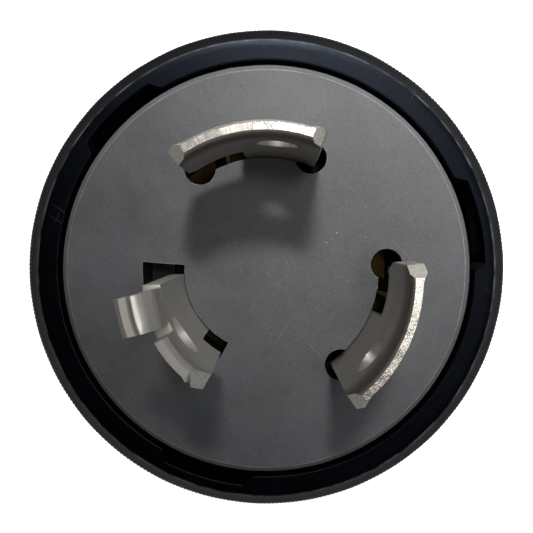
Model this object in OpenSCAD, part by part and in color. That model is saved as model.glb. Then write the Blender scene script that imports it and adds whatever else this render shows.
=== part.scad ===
// Three-wire locking power plug, standing on its cord end with the blades up.
// The origin is the centre of the rear rest plane, and +Z runs along the plug's axis.
// +Y points at line blade Y, and angles are counted from +X.

/* [Mating face] */
// Length from the rear rest plane to the mating face
body_l = 70; // [66:1:84]
// Diameter of the mating face
face_d = 44.4; // [43.6:0.2:48]
// Gap between the face's edge and the rim
face_gap = 0.5; // [0.3:0.1:0.8]
// Bevel on the face's edge
face_edge = 0.6; // [0.3:0.1:1]

/* [Rim] */
// Wall of the rim round the face
rim_wall = 3.5; // [3:0.1:5]
// Length of the rim along the axis
rim_l = 15; // [12:0.5:18]
// Radial width of the rim's front bevel
rim_bevel = 1.4; // [0.6:0.1:1.8]
// Step from the rim down to the grip
rim_step = 1.6; // [1:0.1:2]
// Depth of the key notches in the rim's bore
key_depth = 1; // [0.8:0.1:1.4]
// Angle that a key notch spans at its mouth
key_span = 28; // [22:1:32]
// Length of the key notches along the axis
key_l = 12; // [8:0.5:14]

/* [Blades] */
// Thickness of the blade metal
blade_t = 1.5; // [1.3:0.1:1.7]
// Inner radius of the line blades
line_r = 12.3; // [12:0.1:12.6]
// Height of the line blades above the face
line_h = 18; // [16:0.5:20]
// Angle that a line blade spans
line_span = 62; // [56:1:64]
// Angle that a line blade's neck spans below its locking notch
line_neck = 34.8; // [30:0.2:38]
// Height of the line blades' locking notch above the face
line_notch_h = 6.4; // [5.5:0.1:7]
// Inner radius of the ground blade
ground_r = 8.95; // [8.7:0.05:9.2]
// Height of the ground blade above the face
ground_h = 21.3; // [20:0.1:23]
// Angle that the ground blade spans
ground_span = 57.8; // [54:0.2:60]
// Angle that the ground blade's neck spans below its locking notch
ground_neck = 43.6; // [38:0.2:46]
// Height of the ground blade's locking notch above the face
ground_notch_h = 7.1; // [6:0.1:8]
// Width of the ground blade's hook
hook_w = 3.2; // [2.6:0.1:3.4]
// Reach of the hook beyond the ground blade's outer face
hook_reach = 1.65; // [1.3:0.05:1.8]
// Diameter of the hole in each blade
blade_hole_d = 4; // [3:0.1:4.4]

/* [Blade carrier] */
// Height of the blade carrier
carrier_h = 20; // [18:0.5:24]
// Thickness of the carrier's front wall
front_wall = 6; // [5:0.5:8]
// Height of the terminal retainer
retainer_h = 10; // [8:0.5:12]
// Width of the seat that holds the carrier
seat_w = 1.9; // [1.4:0.1:2.4]

/* [Terminals] */
// Width of a terminal tail
tail_w = 9; // [8:0.5:9.5]
// Length of a terminal tail below the retainer
tail_l = 15; // [14:0.5:16]
// Thickness of a wire clamp
clamp_t = 1.5; // [1.2:0.1:1.6]
// Diameter of a terminal screw
terminal_screw_d = 3.8; // [3:0.1:4]

/* [Housing] */
// Wall of the housing round the wire chamber, at its rear end
shell_wall = 3.4; // [3:0.1:4.4]
// Thickness of the housing's rear wall
rear_wall = 4; // [3:0.5:5]
// Number of scallops round the grip
scallops = 12; // [8:1:14]
// Depth of a scallop
scallop_depth = 0.9; // [0.5:0.1:1.2]

/* [Fasteners] */
// Diameter of the assembly screws
assembly_screw_d = 3.2; // [2.8:0.1:3.4]
// Outer diameter of the threaded inserts
insert_d = 5.2; // [4.8:0.1:5.6]
// Height of the threaded inserts
insert_h = 9; // [6:0.5:12]

/* [Cord entry] */
// Diameter of the cord that the entry takes
cord_d = 17.2; // [12:0.2:17.6]
// Wall of the cord seal
seal_wall = 1.5; // [1.2:0.1:1.8]
// Wall of the cord clamp round the cord
jaw_wall = 3.4; // [2.8:0.1:3.6]
// Length of the cord clamp along the axis
jaw_l = 11; // [9:0.5:12]
// Gap between the two halves of the cord clamp
jaw_gap = 2; // [1:0.2:3]
// Thickness of the rear cap's flange
cap_h = 5; // [4.5:0.5:7]
// Diameter of the cord clamp screws
jaw_screw_d = 3.8; // [3.2:0.1:4]

/* [Hidden] */
$fn = 96;

// Clearances: a sliding fit, a running fit, and a screw in its thread
clear = 0.3;
slide = 0.1;
thread_gap = 0.05;
// Overlap that joins two solids of one piece, and the extra lengths of the cutting tools
join = 0.5;
over = 1;
cut_room = 4;
end_room = 3;
notch_room = 9;
tail_room = 6;

// Directions of the blades, the assembly screws and the key notches
line_y_dir = 90;
line_x_dir = -30;
ground_dir = 205.6;
SCREW_DIRS = [30, 150, 270];
KEY_DIRS = [7.5, 127.5, 247.5];

// Levels along the axis, from the face down to the rear
face_z = body_l;
wall_z = face_z - front_wall;
seat_z = face_z - carrier_h;
retainer_z = seat_z - retainer_h;
cap_z = jaw_l;
shell_z = cap_z + cap_h;
floor_z = shell_z + rear_wall;
rim_z = face_z - rim_l;

// Radii of the face, the rim, the wire chamber and the grip
face_r = face_d / 2;
bore_r = face_r + face_gap;
rim_r = bore_r + rim_wall;
retainer_r = face_r - seat_w;
retainer_bore_r = retainer_r + clear;
ledge = 1.2;
chamber_r = retainer_bore_r - ledge;
chamber_cone = 5;
grip_rear_r = chamber_r + shell_wall;
grip_front_r = rim_r - rim_step;
shell_edge = 1.2;

// Slots and pockets that hold the blades
slot_clear = 0.1;
slot_back = 0.3;
keyhole_r = 1.72;
keyhole_angle = 27.35;
pocket_clear = 0.4;
foot_extra = 5;
foot_play = 1;
tail_span = 35;
tail_set = 0.25;

// Shape of the blades' tips and of the tooth beside a neck
tip_bevel = 0.35;
tip_bevel_h = 0.6;
line_corner = [1.1, 1.8];
blade_hole_turn = 12.3;
line_hole_z = 11.5;
tooth_at = 1.9;
tooth_top = 0.4;
tooth_drop = 0.8;
tooth_slope = 1.5;

// Hook of the ground blade, measured from its clockwise end
hook_turn = 11.5;
hook_set = 0.1;
bend_r = 0.6;
bend_steps = 10;
slit_to = 26.3;
slit_depth = 4.3;
ground_corner = [1.7, 2.8];
ground_hole_turn = 3.4;
ground_hole_z = 14;
ground_slot_from = 6.4;
ground_slot_to = 2.2;
hook_slot_span = 13;
hook_clear = 1.3;

// Terminals
terminal_z = retainer_z - 9;
terminal_head_r = 3.5;
terminal_head_h = 2.6;
screw_tip = 1.5;
clamp_w = 8.6;
clamp_h = 9;
groove = 0.5;
groove_pitch = 1.8;

// Assembly screws, with their heads sunk in the rear cap
screw_ring_r = chamber_r - 2.6;
boss_r = 3.3;
head_r = 3.1;
head_h = 2.6;
head_sink = 3;
assembly_reach = 8;

// Screw that holds the retainer to the carrier
retainer_screw_d = 3;
retainer_head_r = 3;
retainer_head_h = 2;
retainer_screw_l = 12;
post_r = 3.6;

// Cord seal and cord clamp
seal_bore_r = cord_d / 2;
seal_r = seal_bore_r + seal_wall;
cord_hole_r = seal_r + slide;
seal_flange_r = seal_r + 2;
seal_flange_h = 2;
bite_depth = 0.8;
bite_count = 4;
jaw_r = seal_bore_r + jaw_wall;
ear_x = jaw_r + 2.9;
ear_r = 3.2;
ear_h = 4.6;
ear_edge = 1;
cap_r = grip_rear_r - 0.6;
jaw_z = jaw_l / 2;
jaw_head_r = 3.1;
jaw_head_h = 2.2;
nut_r = 3.9;
nut_h = 2.8;

// Colours
black = "#1c1c1f";
grey = "#6e7073";
rubber = "#2b2b2d";
nickel = "#cfcac0";
brass = "#c9a44c";
steel = "#b8bbc0";
green = "#3f8f4a";

// A block bent round the axis, from one angle to another
module arc_block(r_in, r_out, from, to, z_low, z_high) {
    rotate([0, 0, from])
        rotate_extrude(angle = to - from)
            translate([r_in, z_low])
                square([r_out - r_in, z_high - z_low]);
}

// A profile in the tangential plane at an angle, pushed outwards through a blade
module radial_cut(angle, r_in, r_out, points) {
    rotate([0, 0, angle])
        translate([r_in, 0, 0])
            rotate([90, 0, 90])
                linear_extrude(height = r_out - r_in)
                    polygon(points);
}

// A round bar that points outwards at an angle
module radial_bar(angle, r_in, r_out, z, r) {
    rotate([0, 0, angle])
        translate([r_in, 0, z])
            rotate([0, 90, 0])
                cylinder(r = r, h = r_out - r_in);
}

// A curved blade whose top edge is bevelled on both sides
module bevelled_arc(r_in, from, to, z_low, z_high) {
    r_out = r_in + blade_t;
    rotate([0, 0, from])
        rotate_extrude(angle = to - from)
            polygon([
                [r_in, z_low],
                [r_out, z_low],
                [r_out, z_high - tip_bevel_h],
                [r_out - tip_bevel, z_high],
                [r_in + tip_bevel, z_high],
                [r_in, z_high - tip_bevel_h]
            ]);
}

// A cut through a blade along its end, from the foot up, with a slanted tip corner.
// side is 1 at the end that faces counter-clockwise
module end_cut(angle, side, corner, r_in, z_top) {
    blade_cut(angle, r_in, [
        [0, wall_z],
        [0, z_top - corner[1]],
        [-side * corner[0] * (1 + over / corner[1]), z_top + over],
        [side * end_room, z_top + over],
        [side * end_room, wall_z]
    ]);
}

// A profile cut through a blade, square to it at an angle
module blade_cut(angle, r_in, points) {
    radial_cut(angle, r_in - cut_room, r_in + blade_t + over, points);
}

// A blade's blank: a curved strip, bevelled at its tip and narrowed for its tail
module blank(dir, foot, r_in, z_top) {
    difference() {
        bevelled_arc(r_in, dir - foot, dir + foot, retainer_z - join, z_top);
        for (side = [-1, 1])
            blade_cut(dir + side * tail_span / 2, r_in, [
                [0, retainer_z - over],
                [0, seat_z],
                [side * tail_room, seat_z],
                [side * tail_room, retainer_z - over]
            ]);
    }
}

// The flat end of a tail, below the retainer
module tail_pad(dir, r_in) {
    rotate([0, 0, dir])
        translate([r_in - tail_set, -tail_w / 2, retainer_z - tail_l])
            cube([blade_t, tail_w, tail_l]);
}

// The tapped hole through a tail for its terminal screw
module tail_hole(dir, r_in) {
    radial_bar(dir, r_in - over, r_in + blade_t + over, terminal_z,
               terminal_screw_d / 2 + thread_gap);
}

// A line blade: a locking tip on a narrow neck, a foot held in the carrier, and a tail
module line_blade(dir) {
    low = dir - line_span / 2;
    high = dir + line_span / 2;
    notch_z = face_z + line_notch_h;
    peak_z = face_z - tooth_drop;
    top = face_z + line_h;
    color(nickel)
        difference() {
            union() {
                blank(dir, line_span / 2 + foot_extra, line_r, top);
                tail_pad(dir, line_r);
            }
            end_cut(low, -1, line_corner, line_r, top);
            end_cut(high, 1, line_corner, line_r, top);
            // The locking notch, with a sloped tooth that stands beside the neck
            blade_cut(low + line_neck, line_r, [
                [0, wall_z],
                [0, notch_z],
                [notch_room, notch_z],
                [notch_room, wall_z],
                [tooth_at + tooth_top + tooth_slope, wall_z],
                [tooth_at + tooth_top, peak_z],
                [tooth_at, peak_z],
                [tooth_at, wall_z]
            ]);
            radial_bar(dir - blade_hole_turn, line_r - over, line_r + blade_t + over,
                       face_z + line_hole_z, blade_hole_d / 2);
            tail_hole(dir, line_r);
        }
}

// Points along an arc, from one angle to another
function arc_points(x, y, r, from, to) =
    [for (i = [0 : bend_steps]) let (a = from + (to - from) * i / bend_steps)
        [x + r * cos(a), y + r * sin(a)]];

// The hook: a strip of the ground blade's tip bent outwards over a small radius
module hook(dir, z_low) {
    top = face_z + ground_h;
    flat_x = ground_r - hook_set;
    bend_x = flat_x + blade_t + bend_r;
    bend_z = top - blade_t - bend_r;
    end_x = ground_r + blade_t + hook_reach;
    rotate([0, 0, dir])
        translate([0, hook_w / 2, 0])
            rotate([90, 0, 0])
                linear_extrude(height = hook_w)
                    polygon(concat(
                        [[flat_x, z_low]],
                        arc_points(bend_x, bend_z, bend_r + blade_t, 180, 90),
                        [
                            [end_x - tip_bevel, top],
                            [end_x, top - tip_bevel],
                            [end_x, top - blade_t]
                        ],
                        arc_points(bend_x, bend_z, bend_r, 90, 180),
                        [[flat_x + blade_t, z_low]]
                    ));
}

// The ground blade: longer, on a smaller circle, with a hook at its clockwise end
module ground_blade() {
    low = ground_dir - ground_span / 2;
    high = ground_dir + ground_span / 2;
    notch_z = face_z + ground_notch_h;
    top = face_z + ground_h;
    slit_z = top - slit_depth;
    color(nickel)
        difference() {
            union() {
                difference() {
                    blank(ground_dir, ground_span / 2 + foot_extra, ground_r, top);
                    end_cut(low, -1, ground_corner, ground_r, top);
                    end_cut(high, 1, ground_corner, ground_r, top);
                    blade_cut(low + ground_neck, ground_r, [
                        [0, wall_z],
                        [0, notch_z],
                        [notch_room, notch_z],
                        [notch_room, wall_z]
                    ]);
                    // Everything beside the straight tip goes, and the hook takes its place
                    blade_cut(low + slit_to, ground_r, [
                        [0, slit_z],
                        [0, top + over],
                        [-notch_room, top + over],
                        [-notch_room, slit_z]
                    ]);
                }
                hook(low + hook_turn, slit_z - join);
                tail_pad(ground_dir, ground_r);
            }
            radial_bar(ground_dir + ground_hole_turn, ground_r - over, ground_r + blade_t + over,
                       face_z + ground_hole_z, blade_hole_d / 2);
            tail_hole(ground_dir, ground_r);
        }
}

module line_blade_x() {
    line_blade(line_x_dir);
}

module line_blade_y() {
    line_blade(line_y_dir);
}

// Slot for a line blade: a curved slot that ends in a round keyhole at each side
module line_slot(dir) {
    low = face_z - front_wall - over;
    high = face_z + over;
    arc_block(line_r - slot_clear, line_r + blade_t + slot_back, dir - keyhole_angle,
              dir + keyhole_angle, low, high);
    for (side = [-1, 1])
        rotate([0, 0, dir + side * keyhole_angle])
            translate([line_r + blade_t / 2 + slot_clear / 2, 0, low])
                cylinder(r = keyhole_r, h = high - low);
}

// Slot for the ground blade, wide at the end that its hook passes through
module ground_slot() {
    low = ground_dir - ground_span / 2 - ground_slot_from;
    high = ground_dir + ground_span / 2 + ground_slot_to;
    r_out = ground_r + blade_t;
    z_low = face_z - front_wall - over;
    arc_block(ground_r - slot_clear, r_out + slot_back, low, high, z_low, face_z + over);
    arc_block(ground_r - slot_clear, r_out + hook_reach + hook_clear, low, low + hook_slot_span,
              z_low, face_z + over);
}

// Pocket behind the front wall that holds a blade's foot
module foot_pocket(dir, span, r_in) {
    half = span / 2 + foot_extra + foot_play;
    arc_block(r_in - pocket_clear, r_in + blade_t + pocket_clear, dir - half, dir + half,
              seat_z - over, wall_z);
}

// The face block: slots in front, pockets and cores behind, and three keys on its side
module blade_carrier() {
    core_in = line_r + blade_t + 1.9;
    core_out = face_r - 1.6;
    core_half = 28;
    lug_half = key_span / 2 - 5;
    color(grey)
        difference() {
            union() {
                rotate_extrude()
                    polygon([
                        [0, seat_z],
                        [face_r, seat_z],
                        [face_r, face_z - face_edge],
                        [face_r - face_edge, face_z],
                        [0, face_z]
                    ]);
                for (dir = KEY_DIRS)
                    arc_block(face_r - join, bore_r + key_depth - clear, dir - lug_half,
                              dir + lug_half, face_z - key_l, face_z - key_l / 2);
            }
            line_slot(line_x_dir);
            line_slot(line_y_dir);
            ground_slot();
            foot_pocket(line_x_dir, line_span, line_r);
            foot_pocket(line_y_dir, line_span, line_r);
            foot_pocket(ground_dir, ground_span, ground_r);
            // Cores that keep the moulded walls even
            for (dir = [line_x_dir, line_y_dir, 210])
                arc_block(core_in, core_out, dir - core_half, dir + core_half, seat_z - over, wall_z);
            translate([0, 0, seat_z - over])
                difference() {
                    cylinder(r = ground_r - pocket_clear - 1.5, h = wall_z - seat_z + over);
                    cylinder(r = post_r, h = wall_z - seat_z + over);
                }
            for (dir = SCREW_DIRS)
                rotate([0, 0, dir])
                    translate([screw_ring_r, 0, seat_z - over])
                        cylinder(r = insert_d / 2 + thread_gap, h = insert_h + over);
            translate([0, 0, seat_z - over])
                cylinder(r = retainer_screw_d / 2 + thread_gap, h = retainer_screw_l + over);
        }
}

// The rear insulator that shuts the blades' feet in, with fins between the terminals
module terminal_retainer() {
    half = tail_span / 2 + foot_play;
    fin_h = 8;
    fin_t = 2;
    fin_in = 6;
    fin_out = screw_ring_r - boss_r - clear;
    color(black)
        difference() {
            union() {
                translate([0, 0, retainer_z])
                    cylinder(r = retainer_r, h = retainer_h);
                for (dir = SCREW_DIRS)
                    rotate([0, 0, dir])
                        translate([fin_in, -fin_t / 2, retainer_z - fin_h])
                            cube([fin_out - fin_in, fin_t, fin_h + join]);
            }
            for (hole = [[line_x_dir, line_r], [line_y_dir, line_r], [ground_dir, ground_r]])
                arc_block(hole[1] - pocket_clear, hole[1] + blade_t + pocket_clear, hole[0] - half,
                          hole[0] + half, retainer_z - over, seat_z + over);
            for (dir = SCREW_DIRS)
                rotate([0, 0, dir])
                    translate([screw_ring_r, 0, retainer_z - over])
                        cylinder(r = assembly_screw_d / 2 + clear, h = retainer_h + 2 * over);
            translate([0, 0, retainer_z - over])
                cylinder(r = retainer_screw_d / 2 + clear, h = retainer_h + 2 * over);
            translate([0, 0, retainer_z - over])
                cylinder(r = retainer_head_r + clear, h = retainer_head_h + over);
        }
}

// A wire clamp: a plate with cross grooves that the terminal screw draws against the tail
module wire_clamp(dir, r_in) {
    inner = r_in - tail_set + blade_t;
    color(brass)
        difference() {
            rotate([0, 0, dir])
                translate([inner, -clamp_w / 2, terminal_z - clamp_h / 2])
                    cube([clamp_t, clamp_w, clamp_h]);
            for (row = [-2, 2])
                rotate([0, 0, dir])
                    translate([inner, 0, terminal_z + row * groove_pitch])
                        rotate([0, 45, 0])
                            cube([groove, clamp_w + over, groove], center = true);
            radial_bar(dir, inner - over, inner + clamp_t + over, terminal_z,
                       terminal_screw_d / 2 + slide);
        }
}

// A terminal screw: a slotted head on the clamp, and a shank through the tail
module terminal_screw(dir, r_in, tint) {
    seat = r_in - tail_set + blade_t + clamp_t;
    slot_w = 1;
    slot_deep = 1.1;
    color(tint)
        difference() {
            union() {
                radial_bar(dir, r_in - screw_tip, seat + join, terminal_z, terminal_screw_d / 2);
                radial_bar(dir, seat, seat + terminal_head_h, terminal_z, terminal_head_r);
            }
            rotate([0, 0, dir])
                translate([seat + terminal_head_h - slot_deep, -slot_w / 2,
                           terminal_z - terminal_head_r - over])
                    cube([slot_deep + over, slot_w, 2 * (terminal_head_r + over)]);
        }
}

module wire_clamp_x() {
    wire_clamp(line_x_dir, line_r);
}

module wire_clamp_y() {
    wire_clamp(line_y_dir, line_r);
}

module wire_clamp_ground() {
    wire_clamp(ground_dir, ground_r);
}

module terminal_screw_x() {
    terminal_screw(line_x_dir, line_r, brass);
}

module terminal_screw_y() {
    terminal_screw(line_y_dir, line_r, brass);
}

module terminal_screw_ground() {
    terminal_screw(ground_dir, ground_r, green);
}

// Brass inserts in the back of the carrier
module threaded_inserts() {
    color(brass)
        for (dir = SCREW_DIRS)
            rotate([0, 0, dir])
                translate([screw_ring_r, 0, seat_z])
                    difference() {
                        cylinder(r = insert_d / 2, h = insert_h);
                        translate([0, 0, -over])
                            cylinder(r = assembly_screw_d / 2 + thread_gap, h = insert_h + 2 * over);
                    }
}

// Long screws that draw the carrier, the housing and the rear cap together
module assembly_screws() {
    head_z = cap_z + head_sink;
    color(steel)
        for (dir = SCREW_DIRS)
            rotate([0, 0, dir])
                translate([screw_ring_r, 0, head_z])
                    difference() {
                        union() {
                            translate([0, 0, -head_h])
                                cylinder(r = head_r, h = head_h);
                            cylinder(r = assembly_screw_d / 2, h = seat_z + assembly_reach - head_z);
                        }
                        for (turn = [0, 90])
                            rotate([0, 0, turn])
                                translate([0, 0, -head_h])
                                    cube([2 * head_r - 2, 0.9, 2.4], center = true);
                    }
}

// The screw that holds the retainer to the carrier's centre post
module retainer_screw() {
    color(steel)
        translate([0, 0, retainer_z + retainer_head_h])
            difference() {
                union() {
                    translate([0, 0, -retainer_head_h])
                        cylinder(r = retainer_head_r, h = retainer_head_h);
                    cylinder(r = retainer_screw_d / 2,
                             h = retainer_h - retainer_head_h + retainer_screw_l - 1);
                }
                for (turn = [0, 90])
                    rotate([0, 0, turn])
                        translate([0, 0, -retainer_head_h])
                            cube([2 * retainer_head_r - 2, 0.8, 2], center = true);
            }
}

// The wall of the housing in section, from the rear wall round to the bore
module shell_section() {
    polygon([
        [cord_hole_r, shell_z],
        [grip_rear_r - shell_edge, shell_z],
        [grip_rear_r, shell_z + shell_edge],
        [grip_front_r, rim_z - rim_step],
        [rim_r - rim_step / 2, rim_z],
        [rim_r, rim_z + rim_step / 2],
        [rim_r, face_z - rim_bevel],
        [rim_r - rim_bevel, face_z],
        [bore_r, face_z],
        [bore_r, seat_z],
        [retainer_bore_r, seat_z],
        [retainer_bore_r, retainer_z - over],
        [chamber_r, retainer_z - over - ledge],
        [chamber_r, floor_z + chamber_cone],
        [chamber_r - chamber_cone + 0.6, floor_z],
        [cord_hole_r, floor_z]
    ]);
}

// One scallop of the grip: a round groove along the taper, with round ends
module scallop() {
    groove_r = 6;
    low = shell_z + 9;
    high = rim_z - 8;
    rise = rim_z - rim_step - shell_z - shell_edge;
    lean = atan((grip_front_r - grip_rear_r) / rise);
    run = (high - low) / cos(lean);
    low_r = grip_rear_r + (low - shell_z - shell_edge) * tan(lean);
    translate([low_r + groove_r - scallop_depth, 0, low])
        rotate([0, lean, 0]) {
            cylinder(r = groove_r, h = run);
            sphere(r = groove_r);
            translate([0, 0, run])
                sphere(r = groove_r);
        }
}

// A key notch in the rim's bore, with slanted ends
module key_notch(dir) {
    deep_r = bore_r + key_depth;
    mouth = key_span / 2;
    end = mouth - 3;
    reach = bore_r - over;
    intersection() {
        difference() {
            translate([0, 0, face_z - key_l])
                cylinder(r = deep_r, h = key_l + over);
            translate([0, 0, face_z - key_l - over])
                cylinder(r = reach, h = key_l + 3 * over);
        }
        rotate([0, 0, dir])
            translate([0, 0, face_z - key_l - over])
                linear_extrude(height = key_l + 3 * over)
                    polygon([
                        [reach * cos(mouth + 3) - over, -reach * sin(mouth + 3)],
                        [deep_r * cos(end), -deep_r * sin(end)],
                        [deep_r + over, -deep_r * sin(end)],
                        [deep_r + over, deep_r * sin(end)],
                        [deep_r * cos(end), deep_r * sin(end)],
                        [reach * cos(mouth + 3) - over, reach * sin(mouth + 3)]
                    ]);
    }
}

// The moulded housing: rim, grip, wire chamber, rear wall and screw bosses
module housing() {
    boss_top = retainer_z - clear;
    color(black)
        difference() {
            union() {
                rotate_extrude()
                    shell_section();
                for (dir = SCREW_DIRS)
                    rotate([0, 0, dir])
                        translate([screw_ring_r, 0, floor_z - join])
                            cylinder(r = boss_r, h = boss_top - floor_z + join);
            }
            for (dir = KEY_DIRS)
                key_notch(dir);
            for (dir = SCREW_DIRS)
                rotate([0, 0, dir])
                    translate([screw_ring_r, 0, shell_z - over])
                        cylinder(r = assembly_screw_d / 2 + clear, h = boss_top - shell_z + 2 * over);
            for (turn = [0 : scallops - 1])
                rotate([0, 0, (turn + 0.5) * 360 / scallops])
                    scallop();
        }
}

// The space that the cord fills between the jaws, with rings that bite into its jacket
module cord_space() {
    pitch = jaw_l / bite_count;
    rings = [for (i = [0 : bite_count - 1]) each [
        [seal_bore_r, pitch * i],
        [seal_bore_r + bite_depth, pitch * (i + 0.5)]
    ]];
    rotate_extrude()
        polygon(concat(
            [[0, -over], [seal_bore_r, -over]],
            rings,
            [[seal_bore_r, jaw_l], [seal_bore_r, jaw_l + over], [0, jaw_l + over]]
        ));
}

// One half of the cord clamp, on the side of +Y, with an ear at each end
module jaw_half(length) {
    ear_end = ear_x + ear_r;
    difference() {
        intersection() {
            union() {
                cylinder(r = jaw_r, h = length);
                linear_extrude(height = length)
                    polygon([
                        [-ear_end, 0],
                        [-ear_end, ear_h - ear_edge],
                        [-ear_end + ear_edge, ear_h],
                        [ear_end - ear_edge, ear_h],
                        [ear_end, ear_h - ear_edge],
                        [ear_end, 0]
                    ]);
            }
            translate([-2 * jaw_r, jaw_gap / 2, -over])
                cube([4 * jaw_r, 2 * jaw_r, length + 2 * over]);
        }
        cord_space();
        for (side = [-1, 1])
            translate([side * ear_x, 0, jaw_z])
                rotate([-90, 0, 0])
                    cylinder(r = jaw_screw_d / 2 + slide, h = 2 * ear_h);
    }
}

// The rear cap: a flange under the housing, with the fixed half of the cord clamp
module rear_cap() {
    color(black)
        difference() {
            union() {
                rotate_extrude()
                    polygon([
                        [0, cap_z],
                        [cap_r - shell_edge, cap_z],
                        [cap_r, cap_z + shell_edge],
                        [cap_r, shell_z],
                        [0, shell_z]
                    ]);
                mirror([0, 1, 0])
                    jaw_half(jaw_l + join);
            }
            translate([0, 0, cap_z])
                cylinder(r = cord_hole_r, h = cap_h + over);
            translate([0, 0, cap_z - over])
                cylinder(r = seal_bore_r, h = cap_h);
            for (dir = SCREW_DIRS)
                rotate([0, 0, dir])
                    translate([screw_ring_r, 0, cap_z - over]) {
                        cylinder(r = head_r + clear, h = head_sink + over);
                        cylinder(r = assembly_screw_d / 2 + clear, h = cap_h + 2 * over);
                    }
        }
}

// The loose half of the cord clamp
module cord_clamp_jaw() {
    color(black)
        jaw_half(jaw_l - clear);
}

// Screws that close the cord clamp, one at each ear
module cord_clamp_screws() {
    shank = 2 * ear_h + nut_h + 1;
    color(steel)
        for (side = [-1, 1])
            translate([side * ear_x, ear_h, jaw_z])
                rotate([90, 0, 0])
                    difference() {
                        union() {
                            cylinder(r = jaw_screw_d / 2, h = shank);
                            translate([0, 0, -jaw_head_h])
                                cylinder(r = jaw_head_r, h = jaw_head_h);
                        }
                        translate([0, 0, -jaw_head_h])
                            cube([2 * jaw_head_r + over, 0.9, 2], center = true);
                    }
}

// Hexagon nuts on the cord clamp screws
module cord_clamp_nuts() {
    color(steel)
        for (side = [-1, 1])
            translate([side * ear_x, -ear_h, jaw_z])
                rotate([90, 0, 0])
                    difference() {
                        rotate([0, 0, 30])
                            cylinder(r = nut_r, h = nut_h, $fn = 6);
                        translate([0, 0, -over])
                            cylinder(r = jaw_screw_d / 2 + thread_gap, h = nut_h + 2 * over);
                    }
}

// The rubber seal in the cord hole, with a flange inside the housing
module cord_seal() {
    color(rubber)
        rotate_extrude()
            polygon([
                [seal_bore_r, cap_z],
                [seal_r, cap_z],
                [seal_r, floor_z],
                [seal_flange_r, floor_z],
                [seal_flange_r, floor_z + seal_flange_h],
                [seal_bore_r, floor_z + seal_flange_h]
            ]);
}

housing();
blade_carrier();
terminal_retainer();
line_blade_x();
line_blade_y();
ground_blade();
wire_clamp_x();
wire_clamp_y();
wire_clamp_ground();
terminal_screw_x();
terminal_screw_y();
terminal_screw_ground();
threaded_inserts();
assembly_screws();
retainer_screw();
rear_cap();
cord_clamp_jaw();
cord_clamp_screws();
cord_clamp_nuts();
cord_seal();
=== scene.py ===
"""Dresses the locking power plug: its ribbed shell, grey face, plated blades, fittings and stage."""

import math

import bmesh
import bpy
import numpy as np
from mathutils import Matrix, Vector


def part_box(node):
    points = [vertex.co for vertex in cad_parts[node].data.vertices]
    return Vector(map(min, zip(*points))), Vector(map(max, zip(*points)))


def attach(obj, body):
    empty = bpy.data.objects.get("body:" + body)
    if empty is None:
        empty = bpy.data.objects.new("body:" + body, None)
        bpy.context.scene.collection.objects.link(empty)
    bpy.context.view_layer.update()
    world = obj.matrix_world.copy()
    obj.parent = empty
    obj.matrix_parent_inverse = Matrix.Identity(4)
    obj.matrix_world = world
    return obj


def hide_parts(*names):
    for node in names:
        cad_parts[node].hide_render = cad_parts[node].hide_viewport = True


bl_info = {
    "name": "Locking Power Plug",
    "version": (1, 0, 0),
    "blender": (4, 5, 0),
    "location": "3D View > Sidebar > Plug",
    "description": "Builds the finished surfaces of a three-wire locking power plug around its solids",
    "category": "Object",
}

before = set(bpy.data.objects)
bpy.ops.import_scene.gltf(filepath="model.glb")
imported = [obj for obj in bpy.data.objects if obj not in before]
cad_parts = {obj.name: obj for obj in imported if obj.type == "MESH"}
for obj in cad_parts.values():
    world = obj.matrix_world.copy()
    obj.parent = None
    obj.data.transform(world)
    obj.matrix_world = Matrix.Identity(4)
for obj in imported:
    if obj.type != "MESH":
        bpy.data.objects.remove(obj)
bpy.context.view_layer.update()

MM = 0.001
TURN = 2 * math.pi


def level_of(node, end):
    """Height of a solid's low end (0) or high end (1), in millimetres."""
    return round(float(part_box(node)[end][2]) / MM, 2)


# Levels and radii of the plug, in millimetres, read from the solids
FACE_Z = level_of("blade_carrier", 1)
SEAT_Z = level_of("blade_carrier", 0)
SHELL_Z = level_of("housing", 0)
LINE_TOP = level_of("line_blade_y", 1)
GROUND_TOP = level_of("ground_blade", 1)
RIM_R = round(float(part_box("housing")[1][0]) / MM, 1)

# The blades' metal, inner radii and outer bevel, in millimetres: the solids' bevel and the worn one
LINE_R, GROUND_R = 12.3, 8.95
BLADE_T = 1.5
BEVEL_IN, BEVEL_DOWN = 1.15, 0.6
WORN_BEVEL_IN, WORN_BEVEL_DOWN = 1.0, 2.1
# Each end's stretch without the worn bevel, and where the sheared corners lie, in degrees and millimetres
PLAIN_END = 6.0
CORNER_SPAN, CORNER_HEIGHT, CORNER_AREA = 9.0, 2.9, 0.9
# The height over which the ends' turn sets in, and how near a point has to be to count as on a line
TURN_HEIGHT = 2.0
NEAR = 0.05

# Each blade's solid, inner radius, direction, span, turns of its two ends, and notch roof's level and rise
BLADES = (
    ("line_blade_x", LINE_R, -30.0, 62.0, (0.7, -0.7), (FACE_Z + 6.4, 3.0)),
    ("line_blade_y", LINE_R, 90.0, 62.0, (2.2, 0.4), (FACE_Z + 6.4, 2.4)),
    ("ground_blade", GROUND_R, 205.6, 57.8, (0.0, 0.0), None),
)

# Painted dark reflections along the hook's roll: each one's stretch of distances from the axis, in
# millimetres, strength, colour
HOOK_PAINTED_REFLECTIONS = (
    (10.7, 11.0, 0.85, (0.10, 0.085, 0.07)),
    (11.0, 11.5, 0.6, (0.34, 0.29, 0.235)),
    (11.72, 11.8, 0.7, (0.16, 0.13, 0.10)),
)

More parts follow.
